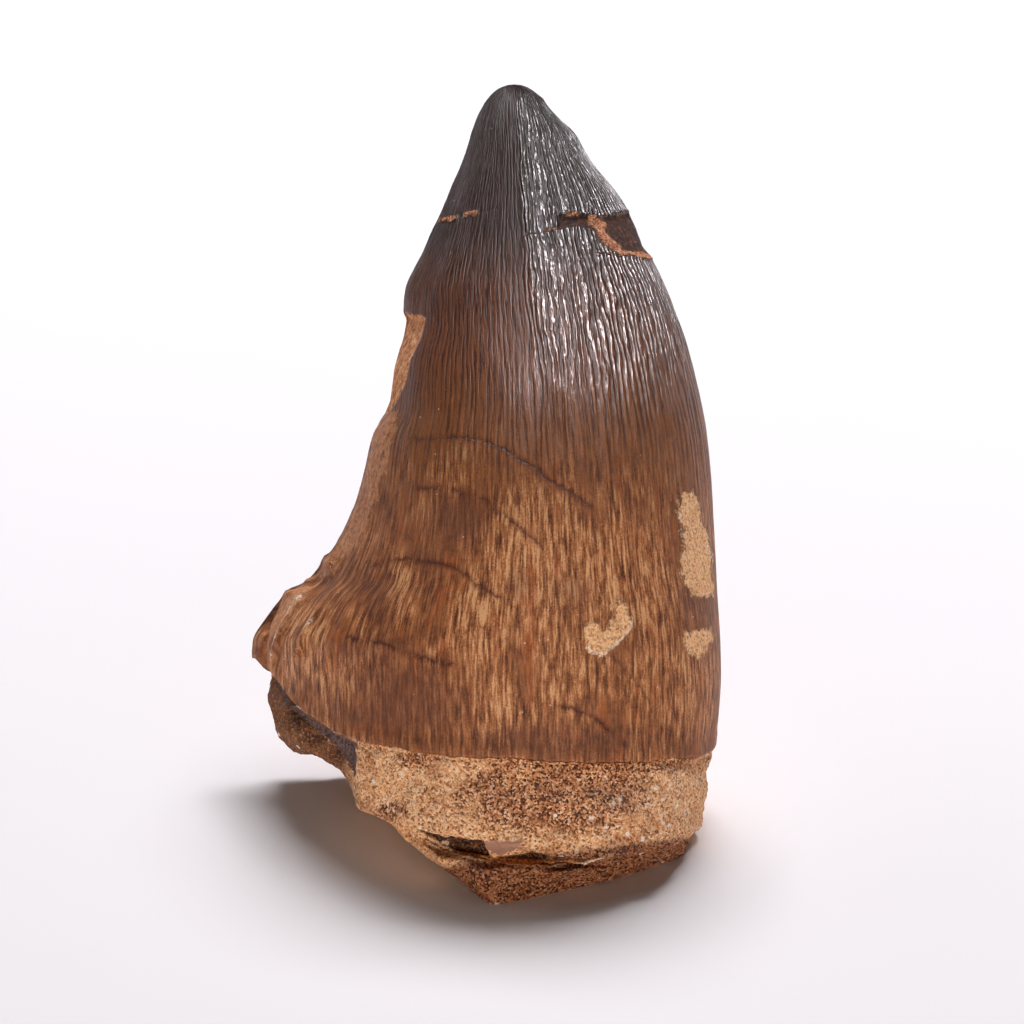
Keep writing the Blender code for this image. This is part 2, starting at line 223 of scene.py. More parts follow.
def smooth(points, at):
    """Reads a smooth curve through (position, value) points, which doesn't overshoot them."""
    x, y = np.array(points, float).T
    steep = np.diff(y) / np.diff(x)
    before, after = np.append(steep[:1], steep), np.append(steep, steep[-1:])
    turning = before * after <= 0
    slope = np.where(turning, 0.0, 2 * before * after / np.where(turning, 1.0, before + after))
    i = np.clip(np.searchsorted(x, at) - 1, 0, len(x) - 2)
    step = x[i + 1] - x[i]
    t = np.clip((at - x[i]) / step, 0, 1)
    near = (1 + 2 * t) * (1 - t) ** 2 * y[i] + t * (1 - t) ** 2 * step * slope[i]
    far = t * t * (3 - 2 * t) * y[i + 1] - t * t * (1 - t) * step * slope[i + 1]
    return near + far


def around(rows, degrees):
    """The same for rows of (degrees, value, ...) round the section, one result for each value."""
    before, after = rows[-2], rows[1]
    ring = [(before[0] - 360, *before[1:]), *rows, (after[0] + 360, *after[1:])]
    return [smooth([(row[0], row[k]) for row in ring], degrees) for k in range(1, len(rows[0]))]


def below_tip(points, distance):
    return smooth([(math.sqrt(d), value) for d, value in points], np.sqrt(distance))


def step_up(value, low, high):
    """0 below low, 1 above high, and an even bend between."""
    t = np.clip((value - low) / (high - low), 0, 1)
    return t * t * (3 - 2 * t)


def lattice_noise(points, seed):
    """Smooth noise from -1 to 1 at an array of points."""
    cell = np.floor(points).astype(np.int64)
    part = points - cell
    fade = part * part * (3 - 2 * part)
    total = np.zeros(points.shape[:-1])
    for corner in itertools.product((0, 1), repeat=3):
        x, y, z = np.moveaxis(cell + corner, -1, 0)
        mixed = (x * 73856093) ^ (y * 19349663) ^ (z * 83492791) ^ (seed * 2654435761)
        mixed = (mixed ^ (mixed >> 13)) * 1274126177
        mixed = (mixed ^ (mixed >> 16)) & 0xFFFFF
        weight = np.prod(np.where(corner, fade, 1 - fade), axis=-1)
        total += (mixed / 0x7FFFF - 1) * weight
    return total


def layered(points, seed, layers=3):
    """Noise at several sizes, each half the last and half as strong."""
    return sum(lattice_noise(points * 2**k, seed + k) / 2**k for k in range(layers)) / 1.5


# Places of the tooth, the world and the picture.
def to_world(u, v, w):
    y = v * math.sin(LEAN) - w * math.cos(LEAN)
    z = v * math.cos(LEAN) + w * math.sin(LEAN)
    return np.stack((u, y, z), axis=-1)


def from_world(points):
    x, y, z = np.moveaxis(points, -1, 0)
    return x, y * math.sin(LEAN) + z * math.cos(LEAN), z * math.sin(LEAN) - y * math.cos(LEAN)


def to_pixels(points):
    """Where the camera shows a point given in world millimetres."""
    u, v, w = from_world(points)
    nearer = DISTANCE / (DISTANCE - w) / PIXEL
    middle_u, middle_v = (512 - ORIGIN_X) * PIXEL, (ORIGIN_Y - 512) * PIXEL
    return np.stack((512 + (u - middle_u) * nearer, 512 - (v - middle_v) * nearer), axis=-1)


def line_distance(pixels, line):
    """(signed distance to a line, share of its length where it is nearest) of each pixel position."""
    line = np.array(line, float)
    length = np.linalg.norm(np.diff(line, axis=0), axis=1)
    gone = np.concatenate(([0], np.cumsum(length)))
    best = np.full(pixels.shape[:-1], 1e9)
    signed, share = best.copy(), np.zeros_like(best)
    for i, (a, b) in enumerate(zip(line, line[1:])):
        along = (b - a) / length[i]
        away = pixels - a
        t = np.clip(away @ along, 0, length[i])
        gap = np.linalg.norm(away - t[..., None] * along, axis=-1)
        side = np.where(along[0] * away[..., 1] - along[1] * away[..., 0] < 0, -1.0, 1.0)
        closer = gap < best
        best = np.where(closer, gap, best)
        signed = np.where(closer, side * gap, signed)
        share = np.where(closer, (gone[i] + t) / gone[-1], share)
    return signed, share


def inside(pixels, outline):
    """Distance into a closed outline, negative outside it."""
    gap = np.abs(line_distance(pixels, [*outline, outline[0]])[0])
    odd = np.zeros(pixels.shape[:-1], bool)
    for (x1, y1), (x2, y2) in zip(outline, [*outline[1:], outline[0]]):
        if y1 != y2:
            crosses = (y1 > pixels[..., 1]) != (y2 > pixels[..., 1])
            odd ^= crosses & (pixels[..., 0] < (x2 - x1) * (pixels[..., 1] - y1) / (y2 - y1) + x1)
    return np.where(odd, gap, -gap)


def blobs(pixels, patches):
    total = np.zeros(pixels.shape[:-1])
    for x, y, half_width, half_height, strength in patches:
        away = ((pixels[..., 0] - x) / half_width) ** 2 + ((pixels[..., 1] - y) / half_height) ** 2
        total = np.maximum(total, strength * np.exp(-(away**1.5) * 0.7))
    return total


# The crown's and the rock's surfaces.
def column_turns(counts):
    right, left, back = counts
    parts = (np.linspace(0, 90, right, False), np.linspace(90, 180, left, False), np.linspace(180, 360, back, False))
    return np.radians(np.concatenate(parts))


def section(distance, turn):
    """(u, w) of the crown's outer surface, at a distance below the tip and an angle round it."""
    crest = below_tip(CREST, distance)
    front, back = below_tip(FRONT, distance), below_tip(BACK, distance)
    across, through = np.cos(turn), np.sin(turn)
    side = np.where(across > 0, below_tip(RIGHT_EDGE, distance), below_tip(LEFT_EDGE, distance))
    sharp = np.where(across > 0, below_tip(RIGHT_SHARP, distance), below_tip(LEFT_SHARP, distance))
    depth = np.sign(through) * np.abs(through) ** sharp
    facet = below_tip(FACET, distance) * (across < 0) * (through > 0)
    depth = depth + (1 - np.abs(across) - depth) * facet
    setback = below_tip(SETBACK, distance) * np.maximum(-across, 0) ** 3
    return crest + np.abs(side - crest) * across, (front + back) / 2 + depth * (front - back) / 2 - setback


def crown_end(turn):
    """Distance below the tip at which the crown ends, with small chips."""
    ring = np.stack((np.cos(turn), np.sin(turn), turn * 0), axis=-1)
    chips = 0.11 * lattice_noise(ring * 9, 5) + 0.06 * lattice_noise(ring * 34, 6)
    return around(BASE_EDGE, np.degrees(turn))[0] + chips


DEEPEST = max(end for _, end in BASE_EDGE)
CENTRE = np.array((CREST[-1][1], (FRONT[-1][1] + BACK[-1][1]) / 2))


def toward(u, w, by):
    """The point moved towards the centre of the section by a length, at most most of the way."""
    away = np.stack((CENTRE[0] - u, CENTRE[1] - w), axis=-1)
    share = np.minimum(by / np.linalg.norm(away, axis=-1), 0.8)
    return u + away[..., 0] * share, w + away[..., 1] * share


def cavity(turn, end, share, inset):
    """A ring of the cavity's ceiling, in world millimetres."""
    u, w = toward(*section(end, turn), WALL + inset)
    shrink = math.cos(math.pi / 2 * share)
    level = end + (DEEPEST - CAVITY_RISE - end) * share
    arch = CAVITY_RISE * math.sin(math.pi / 2 * share) * (1 - share)
    return to_world(CENTRE[0] + (u - CENTRE[0]) * shrink, TIP_V - level + arch - inset, CENTRE[1] + (w - CENTRE[1]) * shrink)


def grid_normals(grid):
    """Outward directions of a grid of points, whose columns go round it."""
    across = np.roll(grid, -1, axis=1) - np.roll(grid, 1, axis=1)
    down = np.gradient(grid, axis=0)
    normals = np.cross(across, down)
    return normals / np.maximum(np.linalg.norm(normals, axis=-1, keepdims=True), 1e-12)


def mesh_of(name, rings, first, last, attributes):
    """A closed object from rings of points in millimetres, capped by a point at each end."""
    rows, columns = rings.shape[:2]
    points = np.concatenate((rings.reshape(-1, 3), [first], [last])) * MM
    index = np.arange(rows * columns).reshape(rows, columns)
    a, b = index, np.roll(index, -1, axis=1)
    quads = np.stack((a[:-1], b[:-1], b[1:], a[1:]), axis=-1).reshape(-1, 4)
    top = np.stack((np.full(columns, rows * columns), b[0], a[0]), axis=-1)
    bottom = np.stack((np.full(columns, rows * columns + 1), a[-1], b[-1]), axis=-1)
    mesh = bpy.data.meshes.new(name)
    mesh.from_pydata(points.tolist(), [], quads.tolist() + top.tolist() + bottom.tolist())
    for key, values in attributes.items():
        wide = values.ndim == 3
        filled = np.concatenate((values.reshape(rows * columns, -1), values.reshape(rows * columns, -1)[[0, -1]]))
        made = mesh.attributes.new(key, "FLOAT_VECTOR" if wide else "FLOAT", "POINT")
        made.data.foreach_set("vector" if wide else "value", filled.astype(np.float32).ravel())
    mesh.shade_smooth()
    mesh.update()
    made = bpy.data.objects.new(name, mesh)
    bpy.context.scene.collection.objects.link(made)
    return made


def crown_relief(pixels, front, flow, turn):
    """How far each point of the crown stands out, in millimetres, and the fields that its material reads."""
    fields = {}
    crack, strength = np.full(front.shape, 1e6), np.zeros(front.shape)
    for number, (line, much) in enumerate(CRACKS + HAIRLINES):
        signed, share = line_distance(pixels, line)
        ends = step_up(share, 0.0, 0.07) * step_up(1 - share, 0.0, 0.07) * step_up(14 - np.abs(signed), 0.0, 5.0)
        closer = np.abs(signed) < np.abs(crack)
        crack = np.where(closer, signed, crack)
        thin = 0.5 if number >= len(CRACKS) else 1.0
        strength = np.where(closer, much * ends * thin, strength)
    fields["crack"] = np.clip(crack, -9, 9)
    facing = step_up(front, -0.1, 0.25)
    fields["crack_strength"] = strength * facing

    degrees = np.degrees(turn)
    behind = -0.9 * np.maximum(np.minimum(degrees - 180, 360 - degrees), 0)
    chip = inside(pixels, CHIP) + behind
    side_chip = inside(pixels, SIDE_CHIP) + 0.5 * behind
    fields["chip"] = np.clip(chip, -9, 9)
    fields["side_chip"] = np.clip(side_chip, -9, 9)
    rubble = np.full(front.shape, -9.0)
    for line, half in RUBBLE:
        rubble = np.maximum(rubble, half - np.abs(line_distance(pixels, line)[0]))
    fields["rubble"] = np.maximum(rubble + behind, -9.0)
    sand = np.max([inside(pixels, outline) for outline in SAND], axis=0)
    fields["sand"] = np.clip(sand + behind, -9, 9)
    white = np.full(front.shape, -9.0)
    for line, half in WHITE_EDGES:
        white = np.maximum(white, half - np.abs(line_distance(pixels, line)[0]))
    fields["white"] = np.maximum(white + behind, -9.0)
    # Painted sheen: how strongly the grey-blue reflection is painted at each point.
    painted_sheen = np.zeros(front.shape)
    for line, half, much in PAINTED_SHEEN:
        painted_sheen = np.maximum(painted_sheen, much * np.exp(-((line_distance(pixels, line)[0] / half) ** 2)))
    fields["painted_sheen"] = painted_sheen * facing
    fields["pale"] = blobs(pixels, PALE) * facing
    fields["dull"] = blobs(pixels, DULL) * facing

    grain = layered(flow * (3.2, 3.2, 3.2), 41, 2)
    relief = 0.05 * layered(flow * (0.5, 0.16, 1), 11)
    relief += 0.03 * step_up(flow[..., 1], 30, 14) * lattice_noise(flow * (1.7, 0.05, 1), 21)
    relief -= 0.025 * fields["crack_strength"] * np.exp(-((crack / 2.0) ** 2))
    relief -= 0.26 * step_up(chip, -1.4, 1.8)
    relief -= 0.28 * step_up(side_chip, -2.0, 3.5) * step_up(front, -0.5, 0.0)
    relief += (0.12 + 0.16 * grain) * step_up(fields["rubble"], -1.0, 2.5)
    relief += (0.08 + 0.12 * grain) * step_up(fields["sand"], -2.0, 4.0)
    relief += 0.05 * step_up(fields["white"], -1.5, 0.5)
    for lines, way in ((WELTS, 1), (GROOVES, -1)):
        for line, half, height in lines:
            signed, share = line_distance(pixels, line)
            ends = step_up(share, 0.0, 0.15) * step_up(1 - share, 0.0, 0.15) * facing
            relief += way * height * ends * np.exp(-((signed / half) ** 2))
    for x, y, half, height in KNOBS:
        away = np.hypot(pixels[..., 0] - x, pixels[..., 1] - y) / half
        relief += height * (1 + 0.4 * grain) * np.exp(-(away**2)) * step_up(front, -0.6, -0.1)
    fields["crust"] = np.max([inside(pixels, outline) for outline in CRUST], axis=0) + behind
    relief += 0.05 * (1 + grain) * step_up(fields["crust"], -2.0, 2.0)
    fields["crust"] = np.clip(fields["crust"], -9, 9)
    return relief, fields


def make_crown():
    turn = column_turns(CROWN_COLUMNS)
    end = crown_end(turn)
    share = (np.arange(1, CROWN_ROWS + 1) / CROWN_ROWS)[:, None] ** 1.15
    distance = share * end
    u, w = section(distance, turn[None, :] + distance * 0)
    grid = to_world(u, TIP_V - distance, w)
    normals = grid_normals(grid)
    radius = (below_tip(RIGHT_EDGE, distance) - below_tip(LEFT_EDGE, distance)) / 2
    front = from_world(normals)[2]

    # Flow: millimetres round the crown, millimetres along it, and the same stretched where the
    # ridges run straight.
    ring = np.concatenate((grid, grid[:, :1]), axis=1)
    lengths = np.linalg.norm(np.diff(ring, axis=1), axis=-1)
    arc = np.concatenate((np.zeros((CROWN_ROWS, 1)), np.cumsum(lengths, axis=1)), axis=1)
    right, left, back = CROWN_COLUMNS
    round_mm = np.zeros(distance.shape)
    squeeze = (9.0 / np.maximum(radius, 0.5)) ** 0.55
    # From the middle of the front and of the back to each edge, where the ridges follow the edge.
    for middle, edge, base in ((right, 0, 0), (right, right + left, 0), (-back // 2 - 1, right + left, 60), (-back // 2 - 1, -1, 60)):
        first, last = sorted((middle % (len(turn) + 1), edge % (len(turn) + 1)))
        columns = slice(first, min(last, len(turn)))
        whole = arc[:, [edge]] - arc[:, [middle]]
        out = (arc[:, columns] - arc[:, [middle]]) / whole
        free, held = whole * squeeze[:, columns], (whole * squeeze[:, columns]).mean(axis=0)
        round_mm[:, columns] = base + out * (free + (held - free) * np.abs(out) ** 1.8)
    along = TIP_V - distance
    wavy = 0.07 + 0.55 * step_up(along, 20, 36)
    wavy_along = np.cumsum(wavy * np.gradient(along, axis=0), axis=0)
    flow = np.stack((round_mm, along, wavy_along), axis=-1)
    pixels = to_pixels(grid)
    relief, fields = crown_relief(pixels, front, flow, turn)

    # A few coarse ridges fan out over the flare, and the enamel is thicker at its lower edge.
    over_flare = step_up(-grid[..., 0], 10.5, 15.5) * step_up(distance, 24, 32)
    relief += 0.2 * over_flare * lattice_noise(np.stack((round_mm * 0.75, along * 0.05, along * 0), axis=-1), 31)
    relief += 0.07 * step_up(share, 0.975, 0.99)
    relief *= step_up(distance, 0.0, 1.5)
    grid = grid + normals * relief[..., None]

    under = [cavity(turn, end, k / 5, 0.0) for k in range(5)]
    rings = np.concatenate((grid, under))
    fields["flow"] = flow
    degrees = np.degrees(turn)
    fields["matte"] = step_up(degrees, 88, 96) * step_up(250 - degrees, 0, 50) * step_up(30 - distance, 0, 14)
    filled = {key: np.concatenate((values, np.repeat(values[-1:], 5, axis=0))) for key, values in fields.items()}
    filled["under"] = np.concatenate((np.zeros(grid.shape[:2]), np.ones((5, len(turn)))))
    top = to_world(CENTRE[0], TIP_V - DEEPEST + CAVITY_RISE, CENTRE[1])
    return mesh_of("crown", rings, to_world(TIP_U, TIP_V, TIP_W), top, filled)


def rock_rings(turn):
    """The rock's rings from under the crown's edge to the ground, in world millimetres."""
    degrees = np.degrees(turn)
    end = crown_end(turn)
    (lump,) = around(LUMP_ALONG, degrees)
    u, w = toward(*section(end, turn), UNDER_FLARE * lump + ROCK_INSET)
    start = np.stack((u, TIP_V - end - SEAM, w), axis=-1)
    lip = np.stack(around(BAND_LIP, degrees), axis=-1)
    down = [start]
    for share, (bulge_u, bulge_v) in zip(BAND_SHARES, LUMP_PATH):
        plain = start + (lip - start) * (share, share, share**1.6)
        plain[:, 0] = np.where(plain[:, 0] < -13.0, np.maximum(plain[:, 0], lip[:, 0] - 0.15), plain[:, 0])
        below = np.minimum(bulge_v, start[:, 1] - LUMP_CLEAR - share)
        level = LUMP_LEVEL * (1 - share)
        thick = level + (plain[:, 2] - level) * (1 + (LUMP_THICKER - 1) * min(3 * share, 1.0))
        bulging = np.stack((np.full_like(below, bulge_u), below, thick), axis=-1)
        down.append(plain + (bulging - plain) * lump[:, None])
    down[-1] = lip
    rings = [to_world(*ring.T) for ring in down]
    foot = np.stack((*around(FOOT, degrees), degrees * 0), axis=-1)
    (recess,) = around(RECESS_ALONG, degrees)
    inward = to_world(CENTRE[0] - lip[:, 0], degrees * 0, CENTRE[1] - lip[:, 2])
    inward /= np.linalg.norm(inward, axis=-1, keepdims=True)
    for share, cut in zip(FOOT_SHARES, RECESS_CUT):
        rings.append(rings[len(BAND_SHARES)] * (1 - share) + foot * share + inward * (cut * recess)[:, None])
    return np.array(rings)


def between_rows(rings, count):
    """More rows between the given ones."""
    at = np.linspace(0, len(rings) - 1, (len(rings) - 1) * count + 1)
    low = np.minimum(at.astype(int), len(rings) - 2)
    share = (at - low)[:, None, None]
    fine = rings[low] * (1 - share) + rings[low + 1] * share
    for _ in range(count // 3):
        fine[1:-1] = (fine[:-2] + 2 * fine[1:-1] + fine[2:]) / 4
    return fine


def rock_marks(pixels, front, grid):
    """The fields that the rock's material reads, and how far each point stands out for them."""
    facing = step_up(front, -0.25, 0.1)
    fields = {
        "dark": blobs(pixels, DARK_ROCK_AND_EDGE_SHADE) * facing,
        # Painted shade: the rock below the ledge, down to the ground.
        "foot": step_up(pixels[..., 1] + 0.12 * (pixels[..., 0] - 480), 858, 866) * facing,
        "lump": step_up(-grid[..., 0], 13.0, 14.4),
        "white": blobs(pixels, WHITE_ROCK) * facing,
        "lump_shade": blobs(pixels, LUMP_SHADE) * facing,
    }
    behind = 20 * np.minimum(front + 0.4, 0)
    for key, outline in (("shaded_hollow", SHADED_HOLLOW), ("wedge", WEDGE), ("amber", AMBER), ("wall", INNER_WALL)):
        fields[key] = np.clip(inside(pixels, outline) + behind, -9, 9)
    fields["rim"] = np.clip(np.max([half - np.abs(line_distance(pixels, line)[0]) for line, half in RIMS], axis=0) + behind, -9, 9)
    carved = -0.35 * step_up(fields["shaded_hollow"], -1.5, 2.5) + 0.2 * step_up(fields["wedge"], -1.0, 1.5)
    carved += 0.1 * step_up(fields["rim"], -1.5, 0.5) - 0.12 * step_up(fields["wall"], -2.0, 2.0)
    carved -= 0.3 * fields["lump_shade"]
    return fields, carved


def make_rock():
    turn = column_turns(ROCK_COLUMNS)
    coarse = rock_rings(turn)
    grid = between_rows(coarse, ROCK_ROWS_BETWEEN)
    rows = len(grid)
    free = np.clip(np.arange(rows) / ROCK_ROWS_BETWEEN - 1, 0, 1)[:, None]
    free = free * np.clip((rows - 1 - np.arange(rows)) / ROCK_ROWS_BETWEEN, 0, 1)[:, None]
    sway = np.array([noise.noise_vector(Vector(p) / ROUGHNESS_SIZE) for p in grid.reshape(-1, 3)])
    grid = grid + sway.reshape(grid.shape) * ROUGHNESS * free[..., None]
    normals = grid_normals(grid)
    near_edge = np.clip(np.arange(rows) / 3, 0, 1)[:, None] * np.clip((rows - 1 - np.arange(rows)) / 2, 0, 1)[:, None]
    lumps = 0.15 * layered(grid / 1.3, 51, 3) + 0.06 * lattice_noise(grid / 0.34, 61) + 0.05 * lattice_noise(grid / 0.17, 71)
    fields, carved = rock_marks(to_pixels(grid), from_world(normals)[2], grid)
    grid = grid + normals * ((lumps + carved) * near_edge)[..., None]
    grid[..., 2] = np.maximum(grid[..., 2], 0)
    grid[-1, :, 2] = 0.0

    end = crown_end(turn)
    plug = [cavity(turn, end, k / 5, 0.2) for k in range(5)][::-1]
    filled = {key: np.concatenate((np.repeat(values[:1], 5, axis=0), values)) for key, values in fields.items()}
    top = to_world(CENTRE[0], TIP_V - DEEPEST + CAVITY_RISE - 0.2, CENTRE[1])
    return mesh_of("rock", np.concatenate((plug, grid)), top, (-0.5, 0.0, 0.0), filled)


class Shader:
    """Adds nodes to one material with short calls. An input is a number, a colour or another node's output."""

    def __init__(self, name):
        self.material = bpy.data.materials.new(name)
        self.material.use_nodes = True
        self.tree = self.material.node_tree
        self.surface = self.tree.nodes["Principled BSDF"]

    def put(self, socket, value):
        if isinstance(value, bpy.types.NodeSocket):
            self.tree.links.new(value, socket)
        else:
            socket.default_value = value

    def add(self, kind, inputs, **settings):
        node = self.tree.nodes.new(kind)
        for key, value in settings.items():
            setattr(node, key, value)
        for key, value in inputs.items():
            self.put(node.inputs[key], value)
        return node

    def field(self, name):
        node = self.add("ShaderNodeAttribute", {}, attribute_name=name)
        return node.outputs["Vector"] if name == "flow" else node.outputs["Fac"]

    def math(self, operation, a, b=0.0, c=0.0, clamp=False):
        return self.add("ShaderNodeMath", {0: a, 1: b, 2: c}, operation=operation, use_clamp=clamp).outputs[0]

    def times(self, a, b):
        return self.math("MULTIPLY", a, b)

    def plus(self, a, b):
        return self.math("ADD", a, b)

    def band(self, value, low, high, to_low=0.0, to_high=1.0):
        """Goes from to_low to to_high, with soft bends, as the value goes from low to high."""
        inputs = {"Value": value, "From Min": low, "From Max": high, "To Min": to_low, "To Max": to_high}
        return self.add("ShaderNodeMapRange", inputs, interpolation_type="SMOOTHSTEP").outputs["Result"]

    def mix(self, a, b, share):
        node = self.add("ShaderNodeMix", {0: share, 6: a, 7: b}, data_type="RGBA")
        return node.outputs[2]

    def multiply(self, a, b, share=1.0):
        node = self.add("ShaderNodeMix", {0: share, 6: a, 7: b}, data_type="RGBA", blend_type="MULTIPLY")
        return node.outputs[2]

    def ramp(self, value, stops):
        node = self.add("ShaderNodeValToRGB", {0: value})
        elements = node.color_ramp.elements
        while len(elements) < len(stops):
            elements.new(1.0)
        for element, (position, colour) in zip(elements, stops):
            element.position = position
            element.color = colour
        return node.outputs["Color"]

    def split(self, vector):
        return self.add("ShaderNodeSeparateXYZ", {0: vector}).outputs

    def join(self, x, y, z=0.0):
        return self.add("ShaderNodeCombineXYZ", {0: x, 1: y, 2: z}).outputs[0]

    def noise(self, vector, scale, detail=2.0, roughness=0.5, distortion=0.0):
        inputs = {"Vector": vector, "Scale": scale, "Detail": detail, "Roughness": roughness, "Distortion": distortion}
        return self.add("ShaderNodeTexNoise", inputs).outputs["Fac"]

    def bump(self, height, depth_mm, strength=1.0, normal=None):
        inputs = {"Height": height, "Distance": depth_mm * MM, "Strength": strength}
        if normal is not None:
            inputs["Normal"] = normal
        return self.add("ShaderNodeBump", inputs).outputs["Normal"]


def rgb(red, green, blue):
    """A colour from its 0 to 255 display values."""
    return (*(((v / 255 + 0.055) / 1.055) ** 2.4 if v > 10 else v / 255 / 12.92 for v in (red, green, blue)), 1.0)


def enamel():
    s = Shader("enamel")
    round_mm, along, wavy_along = s.split(s.field("flow"))
    position = s.add("ShaderNodeTexCoord", {}).outputs["Object"]
    cloud = s.noise(position, 330.0, 3.0, 0.55)
    blotch = s.noise(position, 1100.0, 3.0, 0.6)
    mottle = s.noise(position, 4200.0, 3.0, 0.6)
    upper = s.band(s.plus(along, s.times(s.math("SUBTRACT", blotch, 0.5), 9.0)), 17.5, 29.0)
    glossy = s.band(s.plus(along, s.times(s.math("SUBTRACT", blotch, 0.5), 9.0)), 24.0, 40.0)

    # Ridges run up to the tip, wavy and forking; further down they turn into short straight threads.
    sway = s.noise(s.join(s.times(round_mm, 0.8), s.times(wavy_along, 0.5), 3.0), 1.0, 1.0)
    wander = s.noise(s.join(s.times(round_mm, 2.4), s.times(wavy_along, 1.7), 9.0), 1.0, 2.0, 0.6)
    turns = s.plus(s.times(round_mm, 2.6), s.plus(s.times(sway, 2.4), s.times(wander, 1.1)))
    waves = s.plus(s.times(s.math("SINE", s.times(turns, 2 * math.pi)), 0.5), 0.5)
    breaks = s.noise(s.join(s.times(round_mm, 2.7), s.times(wavy_along, 0.75), 5.0), 1.0, 2.0, 0.55)
    ridges = s.plus(s.times(waves, 0.6), s.times(s.band(breaks, 0.28, 0.72), 0.4))
    threads = s.noise(s.join(s.times(round_mm, 4.4), s.times(along, 0.42)), 1.0, 3.0, 0.6)
    fine = s.band(s.noise(s.join(s.times(round_mm, 9.0), s.times(along, 0.7), 4.0), 1.0, 2.0, 0.6), 0.25, 0.75)
    streaks = s.noise(s.join(s.times(round_mm, 1.5), s.times(along, 0.11), 7.0), 1.0, 3.0, 0.6)
    grit = s.noise(position, 9000.0, 2.0, 0.7)
    texture = s.plus(s.times(s.band(threads, 0.38, 0.62), 0.24), s.plus(s.times(fine, 0.34), s.times(grit, 0.50)))

    # Colour of the threads below, which the pale and the dull patches shift, and of the glossy top.
    shift = s.plus(s.times(s.math("SUBTRACT", blotch, 0.5), 0.30), s.times(s.math("SUBTRACT", cloud, 0.5), 0.20))
    shift = s.plus(shift, s.math("SUBTRACT", s.times(s.field("pale"), 0.17), s.times(s.field("dull"), 0.04)))
    plainer = s.band(s.plus(cloud, s.times(s.field("pale"), 0.4)), 0.36, 0.74, 0.4, 1.0)
    strokes = s.plus(s.times(s.math("SUBTRACT", texture, 0.54), plainer), 0.54)
    below = s.ramp(s.plus(strokes, shift), [
        (0.28, rgb(62, 31, 18)), (0.42, rgb(108, 61, 35)), (0.54, rgb(148, 91, 55)),
        (0.66, rgb(188, 122, 76)), (0.80, rgb(226, 170, 120))])  # fmt: skip
    rusty = s.times(s.band(s.plus(s.times(streaks, 0.6), s.times(blotch, 0.5)), 0.56, 0.72), 0.5)
    below = s.mix(below, rgb(172, 84, 34), rusty)
    smooth_brown = s.mix(rgb(92, 52, 38), rgb(132, 82, 60), s.plus(s.times(fine, 0.5), s.times(grit, 0.5)))
    below = s.mix(below, smooth_brown, s.times(s.field("dull"), s.band(cloud, 0.3, 0.55, 0.4, 0.85)))
    tone = s.ramp(s.times(along, 1 / 46.5), [
        (0.50, rgb(126, 76, 38)), (0.62, rgb(112, 62, 30)), (0.72, rgb(88, 46, 24)), (0.79, rgb(56, 29, 19)),
        (1.0, rgb(50, 26, 19))])  # fmt: skip
    glints = s.noise(s.join(s.times(round_mm, 3.8), s.times(along, 0.2), 2.0), 1.0, 3.0, 0.65)
    glow = s.times(s.band(glints, 0.50, 0.66), s.band(along, 37.5, 33.0))
    above = s.mix(tone, rgb(146, 80, 34), s.times(glow, 0.45))
    # Painted shade: the colour is darkened in the grooves between the ridges.
    above = s.multiply(above, rgb(124, 96, 84), s.times(s.band(s.plus(s.times(ridges, 0.6), s.times(grit, 0.4)), 0.52, 0.3), 0.9))
    colour = s.mix(below, above, upper)
    # Painted sheen: the grey-blue reflection along the left edges, painted into the colour.
    colour = s.mix(colour, rgb(118, 106, 112), s.times(s.field("painted_sheen"), s.band(texture, 0.46, 0.66, 0.05, 0.7)))

    # Cracks, with a ragged edge, that come and go along their way.
    jagged = s.plus(s.times(s.math("SUBTRACT", threads, 0.5), 12.0), s.times(s.math("SUBTRACT", grit, 0.5), 4.0))
    ragged = s.plus(jagged, s.times(s.math("SUBTRACT", s.noise(position, 900.0, 4.0, 0.7), 0.5), 6.0))
    off_crack = s.math("ABSOLUTE", s.plus(s.field("crack"), ragged))
    strength = s.times(s.field("crack_strength"), s.band(blotch, 0.40, 0.58, 0.15, 1.0))
    crack = s.times(s.band(off_crack, 1.6, 0.2), strength)
    halo = s.times(s.band(off_crack, 6.0, 0.5), strength)
    colour = s.multiply(colour, rgb(164, 132, 120), s.times(halo, 0.8))
    colour = s.mix(colour, rgb(58, 30, 22), s.times(crack, 0.62))

